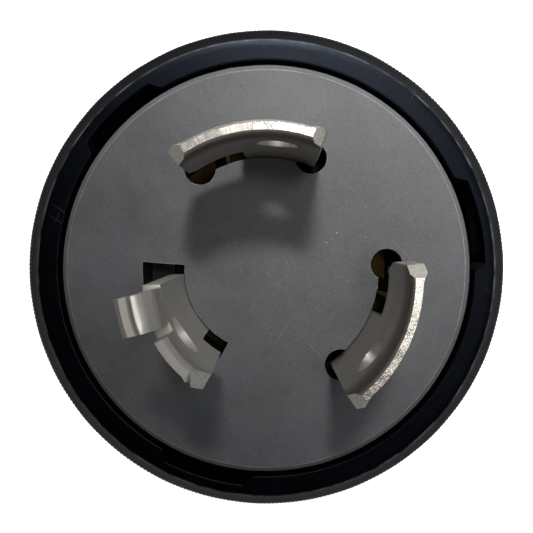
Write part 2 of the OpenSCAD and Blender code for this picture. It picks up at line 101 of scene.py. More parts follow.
# The rim, its bore and its key notches, in millimetres and degrees
RIM_L = 15.0
RIM_WALL = 3.6
RIM_BEVEL = 1.4
RIM_Z = FACE_Z - RIM_L
BORE_R = RIM_R - RIM_WALL
KEY_R = BORE_R + 1.1
KEY_L = 12.0
KEY_DIRECTIONS = (7.5, 127.5, 247.5)
KEY_FLOOR_HALF = 11.0
KEY_MOUTH_HALF = 17.0

# The grip and its scallops, in millimetres
GRIP_REAR_R = 22.8
GRIP_FRONT_R = RIM_R - 1.6
GRIP_LOW, GRIP_HIGH = SHELL_Z + 1.2, RIM_Z - 1.6
SCALLOP_COUNT = 12
SCALLOP_R = 6.0
SCALLOP_DEPTH = 0.9
SCALLOP_LOW, SCALLOP_HIGH = SHELL_Z + 9.0, RIM_Z - 8.0

# The hollow behind the face, in millimetres
RETAINER_Z = SEAT_Z - 10.0
RETAINER_BORE_R = 20.6
CHAMBER_R = 19.4
CORD_HOLE_R = 10.2
FLOOR_Z = SHELL_Z + 4.0

# Each area light's name, place and side in millimetres, power in watts, and colour
AREA_LIGHTS = (
    ("lamp", (60, 64, 500), 60, 0.19, (1.0, 0.98, 0.95)),
    ("side_lamp", (92, -36, 500), 60, 0.07, (1.0, 0.97, 0.92)),
    ("window", (200, 115, 500), 350, 0.16, (0.68, 0.82, 1.0)),
    ("fill", (-350, -200, 300), 300, 0.03, (1.0, 0.97, 0.93)),
)


# ---------------------------------------------------------------- sizes and colours


class PlugSizes(bpy.types.PropertyGroup):
    """Sizes of the details that the finished surfaces add to the solids."""

    rib_count: bpy.props.IntProperty(
        name="Rib count", description="Fine ribs round the rim", default=360, min=120, max=360
    )
    rib_depth: bpy.props.FloatProperty(
        name="Rib depth", description="Depth of a fine rib, in millimetres", default=0.16, min=0.0, max=0.3
    )
    edge_round: bpy.props.FloatProperty(
        name="Edge rounding", description="Rounding of moulded edges, in millimetres", default=0.12, min=0.02
    )
    blade_round: bpy.props.FloatProperty(
        name="Blade rounding", description="Rounding of the blades' edges, in millimetres",
        default=0.13, min=0.02,
    )
    face_round: bpy.props.FloatProperty(
        name="Face rounding", description="Rounding of the face's worn edges, in millimetres",
        default=0.18, min=0.02,
    )


class PlugColours(bpy.types.PropertyGroup):
    """Colours of the plug's materials."""

    shell: bpy.props.FloatVectorProperty(
        name="Shell", description="Black nylon of the housing", default=(0.0012, 0.0014, 0.0021),
        subtype="COLOR", size=3, min=0, max=1,
    )
    face: bpy.props.FloatVectorProperty(
        name="Face", description="Grey nylon of the mating face", default=(0.150, 0.153, 0.160),
        subtype="COLOR", size=3, min=0, max=1,
    )
    nickel: bpy.props.FloatVectorProperty(
        name="Nickel", description="Plating of the blades", default=(0.70, 0.665, 0.61),
        subtype="COLOR", size=3, min=0, max=1,
    )
    brass: bpy.props.FloatVectorProperty(
        name="Brass", description="Bare brass of the terminals", default=(0.60, 0.40, 0.15),
        subtype="COLOR", size=3, min=0, max=1,
    )
    steel: bpy.props.FloatVectorProperty(
        name="Steel", description="Zinc plated steel of the screws", default=(0.56, 0.57, 0.60),
        subtype="COLOR", size=3, min=0, max=1,
    )
    green: bpy.props.FloatVectorProperty(
        name="Ground green", description="Dye on the ground terminal screw", default=(0.03, 0.22, 0.06),
        subtype="COLOR", size=3, min=0, max=1,
    )
    seal: bpy.props.FloatVectorProperty(
        name="Seal", description="Black rubber of the cord seal", default=(0.012, 0.012, 0.013),
        subtype="COLOR", size=3, min=0, max=1,
    )


# ---------------------------------------------------------------- material helpers


class Coat:
    """A material under construction: short calls that add procedural nodes on object coordinates."""

    def __init__(self, name):
        self.material = bpy.data.materials.new(name)
        self.material.use_nodes = True
        self.tree = self.material.node_tree
        self.shader = self.tree.nodes["Principled BSDF"]
        self.place = self.node("TexCoord").outputs["Object"]
        self.bumps = []

    def node(self, kind, sockets=None, **settings):
        """Adds a node, sets its properties, and fills its inputs with numbers or links."""
        made = self.tree.nodes.new("ShaderNode" + kind)
        for key, value in settings.items():
            setattr(made, key, value)
        for key, value in (sockets or {}).items():
            if isinstance(value, bpy.types.NodeSocket):
                self.tree.links.new(value, made.inputs[key])
            else:
                made.inputs[key].default_value = value
        return made

    def math(self, operation, first, second=0.0):
        """One sum of two values."""
        return self.node("Math", {0: first, 1: second}, operation=operation).outputs[0]

    def product(self, *values):
        """All the values multiplied."""
        result = values[0]
        for value in values[1:]:
            result = self.math("MULTIPLY", result, value)
        return result

    def stretched(self, scale, turn=(0.0, 0.0, 0.0)):
        """Object coordinates scaled along each axis, then turned."""
        return self.node("Mapping", {"Vector": self.place, "Scale": scale, "Rotation": turn}).outputs[0]

    def noise(self, size, detail=3.0, vector=None, roughness=0.55, distortion=0.0):
        """Noise between 0 and 1, whose features are about size millimetres across."""
        sockets = {
            "Vector": vector or self.place, "Scale": 1 / (size * MM), "Detail": detail,
            "Roughness": roughness, "Distortion": distortion,
        }
        return self.node("TexNoise", sockets).outputs[0]

    def cells(self, size):
        """Distance to the nearest heart of a cell pattern, whose cells are about size millimetres across."""
        return self.node("TexVoronoi", {"Vector": self.place, "Scale": 1 / (size * MM)}).outputs["Distance"]

    def span(self, value, low, high, from_value=0.0, to_value=1.0):
        """Maps the stretch from low to high onto another, and holds the ends."""
        sockets = {0: value, 1: low, 2: high, 3: from_value, 4: to_value}
        return self.node("MapRange", sockets, clamp=True).outputs[0]

    def blend(self, share, first, second):
        """A colour between two colours."""
        made = self.node("Mix", data_type="RGBA")
        for socket, value in ((0, share), (6, first), (7, second)):
            if isinstance(value, bpy.types.NodeSocket):
                self.tree.links.new(value, made.inputs[socket])
            elif socket == 0:
                made.inputs[socket].default_value = value
            else:
                made.inputs[socket].default_value = (*value[:3], 1)
        return made.outputs[2]

    def height(self, value, depth):
        """Adds relief: value times depth, in millimetres."""
        self.bumps.append((value, depth * MM))

    def strokes(self, length, width, share, turn):
        """Single straight scratches: the hearts of long thin cells, kept only in a share of them."""
        turned = self.stretched((1, 1, 1), (0, 0, turn))
        scale = (1 / length, 1 / width, 1 / length)
        vector = self.node("VectorMath", {0: turned, 1: scale}, operation="MULTIPLY").outputs[0]
        cell = self.node("TexVoronoi", {"Vector": vector, "Scale": 1 / MM})
        near = self.span(cell.outputs["Distance"], 0.22, 0.42, 1.0, 0.0)
        pick = self.node("SeparateXYZ", {0: cell.outputs["Color"]}).outputs[0]
        return self.product(near, self.math("LESS_THAN", pick, share))

    def reach(self):
        """Distance from the plug's axis, in metres."""
        flat = self.node("VectorMath", {0: self.place, 1: (1, 1, 0)}, operation="MULTIPLY").outputs[0]
        return self.node("VectorMath", {0: flat}, operation="LENGTH").outputs["Value"]

    def height_up(self):
        """Height above the rest plane, in metres."""
        return self.node("SeparateXYZ", {0: self.place}).outputs[2]

    def rise(self, value, low, high):
        """From 0 to 1 as a length goes from low to high, in millimetres. High may be the lesser."""
        return self.span(value, low * MM, high * MM)

    def near(self, spot, full, none, share=1.0):
        """The share that holds near a spot: all of it at one distance, none at a further one."""
        metres = tuple(part * MM for part in spot)
        gap = self.node("VectorMath", {0: self.place, 1: metres}, operation="DISTANCE").outputs["Value"]
        return self.span(gap, full * MM, none * MM, share, 0.0)

    def done(self, colour, roughness, **fixed):
        """Joins the colour, the roughness and the relief to the shader, and sets its other values."""
        for key, value in (("Base Color", colour), ("Roughness", roughness)):
            if isinstance(value, bpy.types.NodeSocket):
                self.tree.links.new(value, self.shader.inputs[key])
            else:
                self.shader.inputs[key].default_value = value
        for key, value in fixed.items():
            self.shader.inputs[key.replace("_", " ")].default_value = value
        normal = None
        for value, depth in self.bumps:
            sockets = {"Height": value, "Distance": depth, "Strength": 1.0}
            if normal is not None:
                sockets["Normal"] = normal
            normal = self.node("Bump", sockets).outputs[0]
        if normal is not None:
            self.tree.links.new(normal, self.shader.inputs["Normal"])
        return self.material


# ---------------------------------------------------------------- materials


def tone(colour, share):
    """A colour made lighter or darker."""
    return tuple(min(1.0, part * share) for part in colour)


def shell_coat(colour):
    """Black satin nylon: clouded sheen, fine grain, dust in places, pale scratches, and a painted highlight
    line where the rim's flat meets its bevel."""
    coat = Coat("shell_nylon")
    cloud = coat.noise(6.0, 4.0)
    grain = coat.noise(0.12, 2.0)
    body = coat.blend(coat.span(cloud, 0.35, 0.7), tone(colour, 0.8), tone(colour, 1.5))
    dust = coat.product(coat.noise(1.3, 6.0, roughness=0.7), cloud)
    body = coat.blend(coat.span(dust, 0.30, 0.48, 0.0, 0.3), body, (0.007, 0.007, 0.008))
    line = coat.math("MAXIMUM", coat.strokes(7.0, 0.09, 0.006, 0.7), coat.strokes(4.0, 0.11, 0.006, 2.1))
    body = coat.blend(coat.product(line, 0.5), body, (0.09, 0.09, 0.095))
    # Painted highlight: a thin lighter line, in patches, on the rim's flat where it meets the bevel
    off = coat.math("ABSOLUTE", coat.math("SUBTRACT", coat.reach(), (RIM_R - RIM_BEVEL - 0.02) * MM))
    painted_edge_highlight = coat.product(coat.rise(off, 0.13, 0.05), coat.span(coat.noise(2.0, 4.0), 0.42, 0.62, 0.15, 1.0))
    body = coat.blend(painted_edge_highlight, body, (0.12, 0.122, 0.13))
    coat.height(grain, 0.012)
    coat.height(coat.noise(2.6, 3.0), 0.02)
    coat.height(coat.product(line, -1.0), 0.01)
    sheen = coat.math("ADD", cloud, coat.product(grain, 0.3))
    rough = coat.span(sheen, 0.4, 0.95, 0.26, 0.38)
    return coat.done(body, rough, Specular_IOR_Level=0.11, Specular_Tint=(0.62, 0.74, 1.0, 1.0))


def face_surface(coat, colour):
    """The grey nylon's colour and roughness: clouds, speckle and smudges all over, scratches and warm smears
    near the middle, pale specks beside it, a lighter brim, and painted shade on the walls below the face."""
    cloud = coat.noise(7.5, 5.0, roughness=0.62, distortion=0.3)
    speckle = coat.noise(0.09, 2.0)
    body = coat.blend(coat.span(cloud, 0.32, 0.68), tone(colour, 0.82), tone(colour, 1.18))
    body = coat.blend(coat.span(speckle, 0.50, 0.78, 0.0, 0.75), body, tone(colour, 1.8))
    pits = coat.span(coat.noise(0.16, 2.0), 0.52, 0.76, 0.0, 0.6)
    body = coat.blend(pits, body, tone(colour, 0.6))
    smudge = coat.span(coat.noise(2.3, 6.0, roughness=0.7, distortion=1.2), 0.56, 0.76, 0.0, 0.30)
    body = coat.blend(smudge, body, (0.24, 0.235, 0.22))
    middle = coat.near((2.0, -1.0, FACE_Z), 4.0, 12.0)
    line = coat.strokes(9.0, 0.10, 0.004, 0.9)
    for length, share, turn in ((4.0, 0.012, 0.3), (3.0, 0.014, 1.3), (5.0, 0.010, 2.2), (2.5, 0.016, 2.8)):
        line = coat.math("MAXIMUM", line, coat.product(middle, coat.strokes(length, 0.09, share, turn)))
    body = coat.blend(coat.product(line, 0.4), body, (0.38, 0.375, 0.36))
    smear = coat.span(coat.noise(1.4, 6.0, roughness=0.75, distortion=1.5), 0.54, 0.72, 0.0, 0.35)
    body = coat.blend(coat.product(smear, middle), body, (0.33, 0.31, 0.27))
    speck = coat.span(coat.cells(0.7), 0.07, 0.13, 1.0, 0.0)
    chance = coat.span(coat.noise(0.5, 1.0), 0.50, 0.56)
    speck = coat.product(speck, chance, coat.near((7.8, 2.2, FACE_Z), 1.5, 6.0))
    body = coat.blend(speck, body, (0.75, 0.75, 0.73))
    brim = coat.product(coat.rise(coat.reach(), 21.55, 21.7),
                        coat.rise(coat.height_up(), FACE_Z - 1, FACE_Z - 0.7))
    body = coat.blend(coat.product(brim, 0.5), body, tone(colour, 1.9))
    # Painted shade: the walls below the face turn almost black, as shade inside the slots and gaps
    painted_recess_shade = coat.product(coat.rise(coat.height_up(), FACE_Z - 0.4, FACE_Z - 0.95), 0.8)
    body = coat.blend(painted_recess_shade, body, tone(colour, 0.04))
    coat.height(speckle, 0.010)
    coat.height(coat.noise(3.2, 3.0), 0.03)
    coat.height(coat.product(line, -1.0), 0.008)
    sheen = coat.math("ADD", cloud, coat.product(smudge, 0.6))
    return body, coat.span(sheen, 0.35, 0.95, 0.36, 0.54)


def face_coat(colour):
    """Grey satin nylon of the face."""
    coat = Coat("face_nylon")
    body, rough = face_surface(coat, colour)
    return coat.done(body, rough, Specular_IOR_Level=0.2)


def face_edge_coat(colour):
    """The same nylon on its rounded edges, made much lighter in patches."""
    coat = Coat("face_nylon_edge")
    body, rough = face_surface(coat, colour)
    edge_lightening = coat.span(coat.noise(0.8, 5.0, roughness=0.7), 0.34, 0.60, 0.35, 1.0)
    body = coat.blend(edge_lightening, body, tone(colour, 5.4))
    return coat.done(body, rough, Specular_IOR_Level=0.6)


def painted_shade_and_reflections(coat, body, height, reach):
    """Darkens the plating with painted shade and reflections: brown painted shade inside each blade's tip,
    and stripes of painted dark reflection along the hook's roll.
    """
    for level, radius in ((LINE_TOP, LINE_R), (GROUND_TOP, GROUND_R)):
        # Painted shade: a brown darkening on the inner face just under each tip's top
        painted_inner_shade = coat.product(coat.rise(height, level - 4.2, level - 1.4),
                            coat.rise(height, level - 0.1, level - 0.35),
                            coat.rise(reach, radius + 0.3, radius + 0.2),
                            coat.rise(reach, radius - 0.5, radius - 0.4), 0.8)
        body = coat.blend(painted_inner_shade, body, (0.16, 0.125, 0.095))
    hooked = coat.rise(height, GROUND_TOP - 0.9, GROUND_TOP - 0.6)
    # Painted reflections: dark and brown stripes across the hook's top, where its curve would mirror the
    # dark room
    for start, end, share, tint in HOOK_PAINTED_REFLECTIONS:
        painted_reflection = coat.product(coat.rise(reach, start - 0.06, start + 0.06),
                              coat.rise(reach, end + 0.06, end - 0.06), hooked, share)
        body = coat.blend(painted_reflection, body, tint)
    return body


def dull_metal_and_painted_highlights(coat, height, reach):
    """The share of pale dull metal: a painted highlight on the hook's roll and on an end of line blade Y,
    and dull metal on the ground blade.
    """
    # Painted highlight: pale dull metal along the hook's convex roll
    roll = coat.product(coat.rise(reach, 11.08, 11.2), coat.rise(reach, 11.78, 11.7),
                        coat.rise(height, GROUND_TOP - 0.9, GROUND_TOP - 0.6), 0.85)
    inner = coat.product(coat.rise(reach, 10.4, 10.0), coat.rise(height, FACE_Z, FACE_Z + 0.5), 0.5)
    # Painted highlight: pale dull metal on one end of line blade Y's tip
    tip = coat.product(coat.near((8.5, 12.5, LINE_TOP), 1.2, 2.8, 0.6),
                       coat.rise(height, LINE_TOP - 0.5, LINE_TOP - 0.3))
    return coat.math("MAXIMUM", coat.math("MAXIMUM", roll, inner), tip)


def nickel_surface(coat, colour, brass):
    """Nickel plate: warm clouds, tarnish spots, painted shade inside the tips, painted dark reflections on
    the hook, painted highlights and dull places, grain and drawing lines, brass darkened with painted shade
    below the front wall, and a polish on the line blades' tips."""
    cloud = coat.noise(3.4, 4.0, roughness=0.6)
    grain = coat.noise(0.10, 3.0)
    drawn = coat.noise(0.22, 3.0, coat.stretched((1, 1, 0.08)))
    height, reach = coat.height_up(), coat.reach()
    body = coat.blend(coat.span(cloud, 0.35, 0.68), tone(colour, 0.80), tone(colour, 0.95))
    warm = coat.span(coat.noise(1.9, 4.0), 0.48, 0.72, 0.0, 0.5)
    body = coat.blend(warm, body, (colour[0], colour[1] * 0.93, colour[2] * 0.82))
    spots = coat.span(coat.noise(0.35, 4.0, roughness=0.7), 0.66, 0.78, 0.0, 0.75)
    body = coat.blend(spots, body, (0.20, 0.155, 0.11))
    body = painted_shade_and_reflections(coat, body, height, reach)
    dull_and_highlight_share = dull_metal_and_painted_highlights(coat, height, reach)
    # Pale dull metal: painted highlights on the hook's roll and line blade Y's end, and the ground blade's
    # dull inner face
    body = coat.blend(dull_and_highlight_share, body, (0.90, 0.86, 0.78))
    # Painted shade: brass below the face, darkened almost to black as shade inside the slots
    body = coat.blend(coat.rise(height, FACE_Z, FACE_Z - 0.7), body, tone(brass, 0.05))
    coat.tree.links.new(coat.math("SUBTRACT", 1.0, dull_and_highlight_share), coat.shader.inputs["Metallic"])
    coat.height(grain, 0.006)
    coat.height(drawn, 0.010)
    coat.height(coat.noise(1.6, 2.0), 0.05)
    sheen = coat.math("ADD", cloud, coat.product(grain, 0.5))
    rough = coat.span(sheen, 0.5, 1.1, 0.44, 0.60)
    polish = coat.product(coat.rise(height, LINE_TOP - 0.8, LINE_TOP - 0.3), 0.5,
                          coat.span(height, (LINE_TOP + 0.4) * MM, (LINE_TOP + 1.4) * MM, 1.0, 0.5))
    return body, coat.product(rough, coat.math("SUBTRACT", 1.0, polish))


def nickel_coat(colour, brass):
    """Nickel plate on the blades' flats."""
    coat = Coat("nickel_plate")
    body, rough = nickel_surface(coat, colour, brass)
    return coat.done(body, rough)


def sheared_coat():
    """Sheared corners of the blades: matte warm metal with torn streaks."""
    coat = Coat("sheared_metal")
    torn = coat.noise(0.25, 5.0, coat.stretched((1, 1, 0.3)), roughness=0.7)
    body = coat.blend(coat.span(torn, 0.35, 0.68), (0.62, 0.585, 0.51), (0.92, 0.88, 0.79))
    coat.height(torn, 0.03)
    return coat.done(body, coat.span(torn, 0.3, 0.7, 0.5, 0.7), Metallic=0.0)


def nickel_edge_coat(colour, brass):
    """Nickel plate on the blades' rounded edges, smoother and streaked."""
    coat = Coat("nickel_plate_edge")
    body, rough = nickel_surface(coat, colour, brass)
    streak = coat.span(coat.noise(0.30, 5.0, roughness=0.75), 0.50, 0.66, 0.0, 0.6)
    body = coat.blend(streak, body, (0.50, 0.42, 0.33))
    return coat.done(body, coat.product(rough, 0.7))


def metal_coat(name, colour, stain, rough_low, rough_high):
    """Plain metal with clouds, stains and a fine grain."""
    coat = Coat(name)
    cloud = coat.noise(2.2, 4.0)
    grain = coat.noise(0.12, 3.0)
    body = coat.blend(coat.span(cloud, 0.35, 0.7), tone(colour, 0.82), colour)
    stained = coat.span(coat.noise(0.9, 5.0, roughness=0.7), 0.56, 0.74, 0.0, 0.6)
    body = coat.blend(stained, body, stain)
    coat.height(grain, 0.008)
    coat.height(coat.noise(1.1, 2.0), 0.02)
    sheen = coat.math("ADD", cloud, coat.product(grain, 0.4))
    return coat.done(body, coat.span(sheen, 0.45, 1.0, rough_low, rough_high), Metallic=1.0)


def dyed_coat(colour):
    """Green dye over metal, thin on the crests."""
    coat = Coat("ground_green")
    cloud = coat.noise(1.2, 4.0)
    body = coat.blend(coat.span(cloud, 0.3, 0.7), tone(colour, 0.7), tone(colour, 1.2))
    thin = coat.span(coat.noise(0.5, 5.0, roughness=0.7), 0.62, 0.72, 0.0, 0.8)
    body = coat.blend(thin, body, (0.5, 0.42, 0.24))
    coat.height(coat.noise(0.15, 2.0), 0.008)
    return coat.done(body, coat.span(cloud, 0.3, 0.7, 0.3, 0.45), Metallic=0.7)


def insulator_coat(colour):
    """Matte black nylon of the terminal retainer, with a coarse grain."""
    coat = Coat("insulator_nylon")
    cloud = coat.noise(3.0, 4.0)
    body = coat.blend(coat.span(cloud, 0.3, 0.7), tone(colour, 1.4), tone(colour, 2.6))
    coat.height(coat.noise(0.18, 3.0), 0.02)
    return coat.done(body, coat.span(cloud, 0.3, 0.7, 0.5, 0.66))


def rubber_coat(colour):
    """Soft black rubber: matte, dusty, with a bloom on its high places."""
    coat = Coat("seal_rubber")
    cloud = coat.noise(1.8, 5.0, roughness=0.65)
    body = coat.blend(coat.span(cloud, 0.4, 0.75, 0.0, 0.6), colour, tone(colour, 3.0))
    coat.height(coat.noise(0.2, 3.0), 0.03)
    return coat.done(body, coat.span(cloud, 0.3, 0.7, 0.62, 0.8))


def floor_coat():
    """Pale paper that stays light in the plug's shadow."""
    coat = Coat("pale_paper")
    body = coat.blend(coat.span(coat.noise(40.0, 2.0), 0.4, 0.6), (0.86, 0.86, 0.86), (0.88, 0.88, 0.88))
    coat.done(body, 0.9, Emission_Color=(1, 1, 1, 1))
    glow = coat.span(coat.reach(), 0.085, 0.20, 0.98, 0.10)
    coat.tree.links.new(glow, coat.shader.inputs["Emission Strength"])
    return coat.material


# ---------------------------------------------------------------- mesh helpers

# Angles in degrees: an edge of a new surface is drawn sharp past the first, and a solid's edge is rounded
# past the second
SHARP_ANGLE = 32.0
ROUNDED_ANGLE = 30.0


def piece_from(name, points, faces, materials, node):
    """Makes a mesh object from points in millimetres and faces, and puts it in a solid's place."""
    mesh = bpy.data.meshes.new(name)
    mesh.from_pydata((np.asarray(points) * MM).tolist(), [], faces)
    mesh.validate()
    mesh.shade_smooth()
    mesh.set_sharp_from_angle(angle=math.radians(SHARP_ANGLE))
    return finished(name, mesh, materials, node)


def finished(name, mesh, materials, node):
    """Links a mesh as a piece that stands for a solid, with its materials."""
    made = bpy.data.objects.new(name, mesh)
    bpy.context.scene.collection.objects.link(made)
    while len(mesh.materials) < len(materials):
        mesh.materials.append(None)
    for place, material in enumerate(materials):
        mesh.materials[place] = material
    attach(made, "root")
    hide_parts(node)
    return made


def softened(node, name, width, materials, segments=2, shape=None):
    """A solid with its edges rounded: its doubles are merged, its flat parts joined, its copy shaped if a
    function is given, and each sharp edge gets a round of that width. The round takes the last material."""
    mesh = bpy.data.meshes.new(name)
    work = bmesh.new()
    work.from_mesh(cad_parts[node].data)
    bmesh.ops.remove_doubles(work, verts=work.verts, dist=2e-6)
    bmesh.ops.dissolve_limit(work, angle_limit=math.radians(0.4), verts=work.verts, edges=work.edges)
    bmesh.ops.recalc_face_normals(work, faces=work.faces)
    for face in work.faces:
        face.smooth = True
        face.material_index = 0
    if shape:
        shape(work)
    work.to_mesh(mesh)
    work.free()
    rough = bpy.data.objects.new(name + "_rough", mesh)
    bpy.context.scene.collection.objects.link(rough)
    for material in materials:
        mesh.materials.append(material)
    rounding = rough.modifiers.new("rounding", "BEVEL")
    rounding.width = width * MM
    rounding.segments = segments
    rounding.limit_method = "ANGLE"
    rounding.angle_limit = math.radians(ROUNDED_ANGLE)
    rounding.material = len(materials) - 1
    rounding.use_clamp_overlap = True
    rough.modifiers.new("flats", "WEIGHTED_NORMAL").keep_sharp = True
    graph = bpy.context.evaluated_depsgraph_get()
    smooth = bpy.data.meshes.new_from_object(rough.evaluated_get(graph), depsgraph=graph)
    smooth.name = name
    bpy.data.objects.remove(rough)
    return finished(name, smooth, materials, node)


def worn_blade(work, radius, direction, span, shift, roof):
    """Brings a blade's copy to its worn shape. The outer bevel runs lower between the corners, the ends
    turn by the two shifts, in degrees, in step with their height above the face, and the roof of the locking
    notch rises at its open end. The sheared corners take the second material."""
    low, high = direction - span / 2, direction + span / 2
    top = max(vert.co.z for vert in work.verts) / MM
    for face in work.faces:
        middle = face.calc_center_median() / MM
        slanted = 0.25 < face.normal.z < 0.85
        if slanted and middle.z > top - CORNER_HEIGHT and face.calc_area() / MM**2 > CORNER_AREA:
            turn = math.degrees(math.atan2(middle.y, middle.x)) - direction
            if abs((turn + 180) % 360 - 180) > span / 2 - CORNER_SPAN:
                face.material_index = 1
    for vert in work.verts:
        x, y, z = vert.co / MM
        reach, angle = math.hypot(x, y), math.degrees(math.atan2(y, x))
        angle = direction + (angle - direction + 180) % 360 - 180
        inside = low + PLAIN_END < angle < high - PLAIN_END
        if inside and reach > radius + BLADE_T - NEAR and abs(z - top + BEVEL_DOWN) < NEAR:
            z = top - WORN_BEVEL_DOWN
        if inside and abs(reach - radius - BEVEL_IN) < NEAR and abs(z - top) < NEAR:
            reach = radius + WORN_BEVEL_IN
        if roof and abs(z - roof[0]) < NEAR and angle > high - 1:
            z += roof[1]
        rise = min(1.0, max(0.0, (z - FACE_Z) / TURN_HEIGHT))
        part = min(1.0, max(0.0, (angle - low) / span))
        angle = math.radians(angle + rise * (shift[0] * (1 - part) + shift[1] * part))
        vert.co = Vector((reach * math.cos(angle), reach * math.sin(angle), z)) * MM


def ring_points(radius, height, angles):
    """Points on a ring: radius and height, each one number or one for each angle."""
    radius = np.broadcast_to(radius, angles.shape)
    height = np.broadcast_to(height, angles.shape)
    return np.stack([radius * np.cos(angles), radius * np.sin(angles), height], axis=1)


def ring_faces(start_a, count_a, start_b, count_b):
    """Faces between two rings. Rings of like counts are joined by quads. Where one ring has several times
    the points of the other, each face takes one step of the coarse ring and several of the fine one."""
    coarse = min(count_a, count_b)
    step_a, step_b = count_a // coarse, count_b // coarse
    at = np.arange(coarse)[:, None]
    ahead = start_a + (at * step_a + np.arange(step_a + 1)) % count_a
    back = start_b + (at * step_b + np.arange(step_b, -1, -1)) % count_b
    return np.concatenate([ahead, back], axis=1).tolist()


def closed_rings(rings):
    """A closed skin over rings of points, each joined to the next and the last to the first."""
    starts = np.cumsum([0] + [len(ring) for ring in rings])
    faces = []
    for place, ring in enumerate(rings):
        after = (place + 1) % len(rings)
        faces += ring_faces(starts[place], len(ring), starts[after], len(rings[after]))
    return np.concatenate(rings), faces


# ---------------------------------------------------------------- the shell


def key_radius(angles):
    """Radius of the bore with its key notches: the bore's own radius, or the notch floor's between the
    notch's ends, or along each end the radius at which a ray meets the slanted end face. That face runs
    straight from the floor's end to a point inside the bore."""
    deep, start = math.radians(KEY_FLOOR_HALF), math.radians(KEY_MOUTH_HALF)
    inner = BORE_R - 1
    a = np.array([KEY_R * math.cos(deep), KEY_R * math.sin(deep)])
    b = np.array([inner * math.cos(start) - 1, inner * math.sin(start)])
    slope = b - a
    radius = np.full(angles.shape, BORE_R)
    for direction in KEY_DIRECTIONS:
        away = np.abs((angles - math.radians(direction) + math.pi) % TURN - math.pi)
        cross = slope[1] * np.cos(away) - slope[0] * np.sin(away)
        end = (a[0] * slope[1] - a[1] * slope[0]) / cross
        inside = np.where(away <= deep, KEY_R, np.clip(end, BORE_R, KEY_R))
        radius = np.where(away < start, np.maximum(radius, inside), radius)
    return radius


def grip_radius(heights, angles):
    """Radius of the grip: a cone, less long scallops. A scallop is a bar with round ends, and its radius
    is found by halving the stretch of each ray in which the distance to the bar's line crosses its size."""
    lean = math.atan((GRIP_FRONT_R - GRIP_REAR_R) / (GRIP_HIGH - GRIP_LOW))
    start_r = GRIP_REAR_R + (SCALLOP_LOW - GRIP_LOW) * math.tan(lean) + SCALLOP_R - SCALLOP_DEPTH
    length = (SCALLOP_HIGH - SCALLOP_LOW) / math.cos(lean)
    base = GRIP_REAR_R + (heights - GRIP_LOW) * math.tan(lean)
    base = np.repeat(base[:, None], len(angles), axis=1)
    step = TURN / SCALLOP_COUNT
    away = (angles % step) - step / 2
    away = np.repeat(away[None, :], len(heights), axis=0)
    level = np.repeat(heights[:, None], len(angles), axis=1)

    def gap(radius):
        """Distance from a point on the ray to the bar's surface."""
        x, y, z = radius * np.cos(away) - start_r, radius * np.sin(away), level - SCALLOP_LOW
        along = np.clip(x * math.sin(lean) + z * math.cos(lean), 0, length)
        off_x, off_z = x - along * math.sin(lean), z - along * math.cos(lean)
        return np.sqrt(off_x**2 + y**2 + off_z**2) - SCALLOP_R

    near, far = base - 2.0, base.copy()
    for _ in range(24):
        middle = (near + far) / 2
        inside = gap(middle) < 0
        near, far = np.where(inside, near, middle), np.where(inside, middle, far)
    return np.where(gap(base) < 0, far, base)


def shell_rings(sizes):
    """Rings of the housing, from the rear wall's outer edge up the grip, over the ribbed rim, down the bore
    and the wire chamber, and back along the rear wall. The rim's rings follow the ribs, a wave round the
    axis. Each ring is a circle, a radius and a height for each angle."""
    fine = np.arange(4 * sizes.rib_count) * TURN / (4 * sizes.rib_count)
    plain = np.arange(2 * sizes.rib_count) * TURN / (2 * sizes.rib_count)
    wave = 0.5 - 0.5 * np.cos(fine * sizes.rib_count)
    uneven = 0.75 + 0.25 * np.sin(fine * 7 + 1.0) * np.sin(fine * 23)
    ribbed = RIM_R - sizes.rib_depth * wave * uneven
    rib_top = FACE_Z - RIM_BEVEL + RIM_R - ribbed
    bevel_r = RIM_R - RIM_BEVEL
    soft = sizes.edge_round
    rings = []

    def add(radius, height, angles=plain):
        rings.append(ring_points(radius, height, angles))

    add(GRIP_REAR_R - 1.2, SHELL_Z)
    levels = np.linspace(GRIP_LOW, GRIP_HIGH, 72)
    grip = grip_radius(levels, plain)
    for height, radius in zip(levels, grip):
        add(radius, height)
    add(RIM_R - 0.9, RIM_Z - 0.1)
    add(ribbed - 0.6, RIM_Z + 0.2, fine)
    add(ribbed, RIM_Z + 0.8, fine)
    add(ribbed, FACE_Z - 6.0, fine)
    add(ribbed, rib_top - 0.03, fine)
    add(ribbed - 0.05, rib_top + 0.05, fine)
    add(RIM_R - 0.45, FACE_Z - RIM_BEVEL + 0.45)
    add(bevel_r + soft, FACE_Z - soft)
    add(bevel_r + soft * 0.3, FACE_Z - soft * 0.18)
    add(bevel_r - soft * 0.5, FACE_Z)
    bore = key_radius(plain)
    add(KEY_R + 0.35, FACE_Z)
    add(bore + soft + 0.06, FACE_Z)
    add(bore + soft, FACE_Z)
    add(bore + soft * 0.3, FACE_Z - soft * 0.3)
    add(bore, FACE_Z - soft)
    add(bore, FACE_Z - 6.0)
    add(bore, FACE_Z - KEY_L)
    add(BORE_R, FACE_Z - KEY_L - 0.1)
    add(BORE_R, SEAT_Z)
    add(RETAINER_BORE_R, SEAT_Z)
    add(RETAINER_BORE_R, RETAINER_Z - 1.0)
    add(CHAMBER_R, RETAINER_Z - 2.2)
    add(CHAMBER_R, FLOOR_Z + 5.0)
    add(CHAMBER_R - 4.4, FLOOR_Z)
    add(CORD_HOLE_R, FLOOR_Z)
    add(CORD_HOLE_R, SHELL_Z)
    return rings


# ---------------------------------------------------------------- operators


class PlugOperator:
    """What all the operators share: where the sizes and colours are."""

    bl_options = {"REGISTER", "UNDO"}

    @property
    def sizes(self):
        return bpy.context.scene.plug_sizes

    @property
    def colours(self):
        return bpy.context.scene.plug_colours


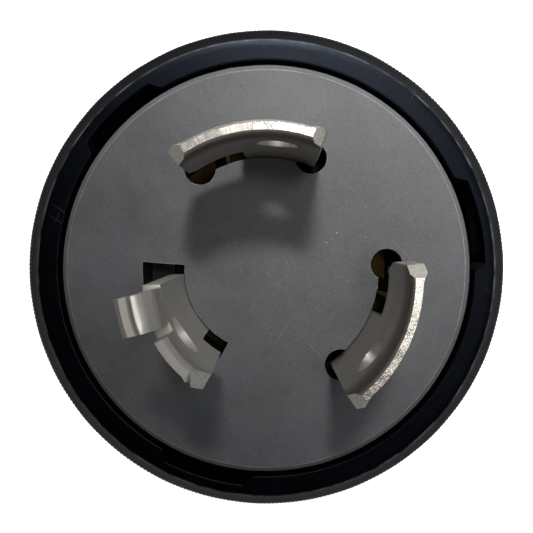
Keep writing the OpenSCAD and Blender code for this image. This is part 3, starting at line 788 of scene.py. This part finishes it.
class PLUG_OT_shell(PlugOperator, bpy.types.Operator):
    """Build the black housing with its ribbed rim, key notches and scalloped grip"""

    bl_idname = "plug.shell"
    bl_label = "Housing"

    def execute(self, context):
        points, faces = closed_rings(shell_rings(self.sizes))
        piece_from("ribbed_housing", points, faces, [shell_coat(self.colours.shell)], "housing")
        return {"FINISHED"}


class PLUG_OT_face(PlugOperator, bpy.types.Operator):
    """Build the grey face block with lighter edges round its slots"""

    bl_idname = "plug.face"
    bl_label = "Face"

    def execute(self, context):
        coats = [face_coat(self.colours.face), face_edge_coat(self.colours.face)]
        softened("blade_carrier", "face_block", self.sizes.face_round, coats)
        return {"FINISHED"}


class PLUG_OT_blades(PlugOperator, bpy.types.Operator):
    """Build the three plated blades with rounded edges"""

    bl_idname = "plug.blades"
    bl_label = "Blades"

    def execute(self, context):
        colours = self.colours
        coats = [nickel_coat(colours.nickel, colours.brass), sheared_coat(),
                 nickel_edge_coat(colours.nickel, colours.brass)]
        for node, radius, direction, span, shift, roof in BLADES:
            softened(node, "plated_" + node, self.sizes.blade_round, coats, segments=3,
                     shape=lambda work: worn_blade(work, radius, direction, span, shift, roof))
        return {"FINISHED"}


class PLUG_OT_terminals(PlugOperator, bpy.types.Operator):
    """Build the terminal clamps and screws, the threaded inserts and the retainer"""

    bl_idname = "plug.terminals"
    bl_label = "Terminals"

    def execute(self, context):
        brass = metal_coat("brass", self.colours.brass, (0.20, 0.12, 0.05), 0.28, 0.45)
        green = dyed_coat(self.colours.green)
        for node in ("wire_clamp_x", "wire_clamp_y", "wire_clamp_ground", "threaded_inserts",
                     "terminal_screw_x", "terminal_screw_y"):
            softened(node, "brass_" + node, 0.1, [brass])
        softened("terminal_screw_ground", "green_terminal_screw", 0.1, [green])
        black = insulator_coat(self.colours.shell)
        softened("terminal_retainer", "black_retainer", 0.15, [black])
        return {"FINISHED"}


class PLUG_OT_fasteners(PlugOperator, bpy.types.Operator):
    """Build the steel screws and nuts"""

    bl_idname = "plug.fasteners"
    bl_label = "Screws and nuts"

    def execute(self, context):
        steel = metal_coat("zinc_plate", self.colours.steel, (0.36, 0.34, 0.31), 0.26, 0.42)
        for node in ("assembly_screws", "retainer_screw", "cord_clamp_screws", "cord_clamp_nuts"):
            softened(node, "steel_" + node, 0.12, [steel])
        return {"FINISHED"}


class PLUG_OT_cord_entry(PlugOperator, bpy.types.Operator):
    """Build the rear cap, the loose clamp jaw and the rubber cord seal"""

    bl_idname = "plug.cord_entry"
    bl_label = "Cord entry"

    def execute(self, context):
        black = shell_coat(self.colours.shell)
        softened("rear_cap", "black_rear_cap", 0.25, [black], segments=3)
        softened("cord_clamp_jaw", "black_clamp_jaw", 0.25, [black], segments=3)
        softened("cord_seal", "rubber_cord_seal", 0.2, [rubber_coat(self.colours.seal)])
        return {"FINISHED"}


def hung_light(name, kind, place, aim, power, colour):
    """A light at a place, in millimetres, turned to face its aim. Returns its data, to set its size."""
    data = bpy.data.lights.new(name, kind)
    data.energy = power
    data.color = colour
    lamp = bpy.data.objects.new(name, data)
    bpy.context.scene.collection.objects.link(lamp)
    lamp.location = Vector(place) * MM
    lamp.rotation_mode = "QUATERNION"
    lamp.rotation_quaternion = (Vector(aim) - Vector(place)).to_track_quat("-Z", "Y")
    return data


def soft_lights():
    """The key, a wide lamp with a narrow cone whose blurred edge makes its light fall off over the face,
    and the area lights."""
    key = hung_light("key", "SPOT", (73, 255, 409), (60, 84, FACE_Z), 60.0, (1.0, 0.985, 0.96))
    key.spot_size = math.radians(14.0)
    key.spot_blend = 1.0
    key.shadow_soft_size = 90 * MM
    for name, place, side, power, colour in AREA_LIGHTS:
        light = hung_light(name, "AREA", place, (0, 0, FACE_Z), power, colour)
        light.shape = "SQUARE"
        light.size = side * MM


def room_light():
    """A weak pale light from all round."""
    world = bpy.data.worlds.new("room")
    bpy.context.scene.world = world
    world.use_nodes = True
    back = world.node_tree.nodes["Background"]
    back.inputs["Color"].default_value = (0.80, 0.84, 0.90, 1)
    back.inputs["Strength"].default_value = 0.035


def pale_floor():
    """A wide square sheet of paper under the plug."""
    half = 2.5
    corners = [(-half, -half, 0), (half, -half, 0), (half, half, 0), (-half, half, 0)]
    mesh = bpy.data.meshes.new("pale_floor")
    mesh.from_pydata(corners, [], [(0, 1, 2, 3)])
    mesh.materials.append(floor_coat())
    floor = bpy.data.objects.new("pale_floor", mesh)
    bpy.context.scene.collection.objects.link(floor)


def camera_over_face():
    """The camera, close above the face and a little off its axis, with the top blade towards the top."""
    data = bpy.data.cameras.new("camera")
    data.angle = math.radians(40.0)
    data.clip_start = 0.002
    made = bpy.data.objects.new("camera", data)
    bpy.context.scene.collection.objects.link(made)
    place = Vector((0.81, 3.80, FACE_Z + 79.3)) * MM
    ahead = (Vector((0.10, 0.45, FACE_Z)) * MM - place).normalized()
    side = ahead.cross(Vector((0.098, 0.995, 0.0))).normalized()
    up = side.cross(ahead)
    turn = Matrix((side, up, -ahead)).transposed()
    made.matrix_world = Matrix.Translation(place) @ turn.to_4x4()
    bpy.context.scene.camera = made


class PLUG_OT_stage(PlugOperator, bpy.types.Operator):
    """Lay the pale floor, set the soft lights and place the camera"""

    bl_idname = "plug.stage"
    bl_label = "Stage"

    def execute(self, context):
        pale_floor()
        soft_lights()
        room_light()
        context.scene.view_settings.view_transform = "Standard"
        camera_over_face()
        return {"FINISHED"}


class PLUG_PT_panel(bpy.types.Panel):
    """The plug's sizes, colours and build steps in the sidebar"""

    bl_idname = "PLUG_PT_panel"
    bl_label = "Locking Power Plug"
    bl_space_type = "VIEW_3D"
    bl_region_type = "UI"
    bl_category = "Plug"

    def draw(self, context):
        column = self.layout.column()
        for group in (context.scene.plug_sizes, context.scene.plug_colours):
            for key in group.__annotations__:
                column.prop(group, key)
        for step in STEPS:
            column.operator(step.bl_idname)


STEPS = (
    PLUG_OT_shell,
    PLUG_OT_face,
    PLUG_OT_blades,
    PLUG_OT_terminals,
    PLUG_OT_fasteners,
    PLUG_OT_cord_entry,
    PLUG_OT_stage,
)
GROUPS = {"plug_sizes": PlugSizes, "plug_colours": PlugColours}


def register():
    for name, group in GROUPS.items():
        bpy.utils.register_class(group)
        setattr(bpy.types.Scene, name, bpy.props.PointerProperty(type=group))
    for made in (*STEPS, PLUG_PT_panel):
        bpy.utils.register_class(made)


def unregister():
    for made in reversed((*STEPS, PLUG_PT_panel)):
        bpy.utils.unregister_class(made)
    for name, group in GROUPS.items():
        delattr(bpy.types.Scene, name)
        bpy.utils.unregister_class(group)


def main():
    """Builds every piece in turn."""
    register()
    bpy.ops.plug.shell()
    bpy.ops.plug.face()
    bpy.ops.plug.blades()
    bpy.ops.plug.terminals()
    bpy.ops.plug.fasteners()
    bpy.ops.plug.cord_entry()
    bpy.ops.plug.stage()


if __name__ == "__main__":
    main()
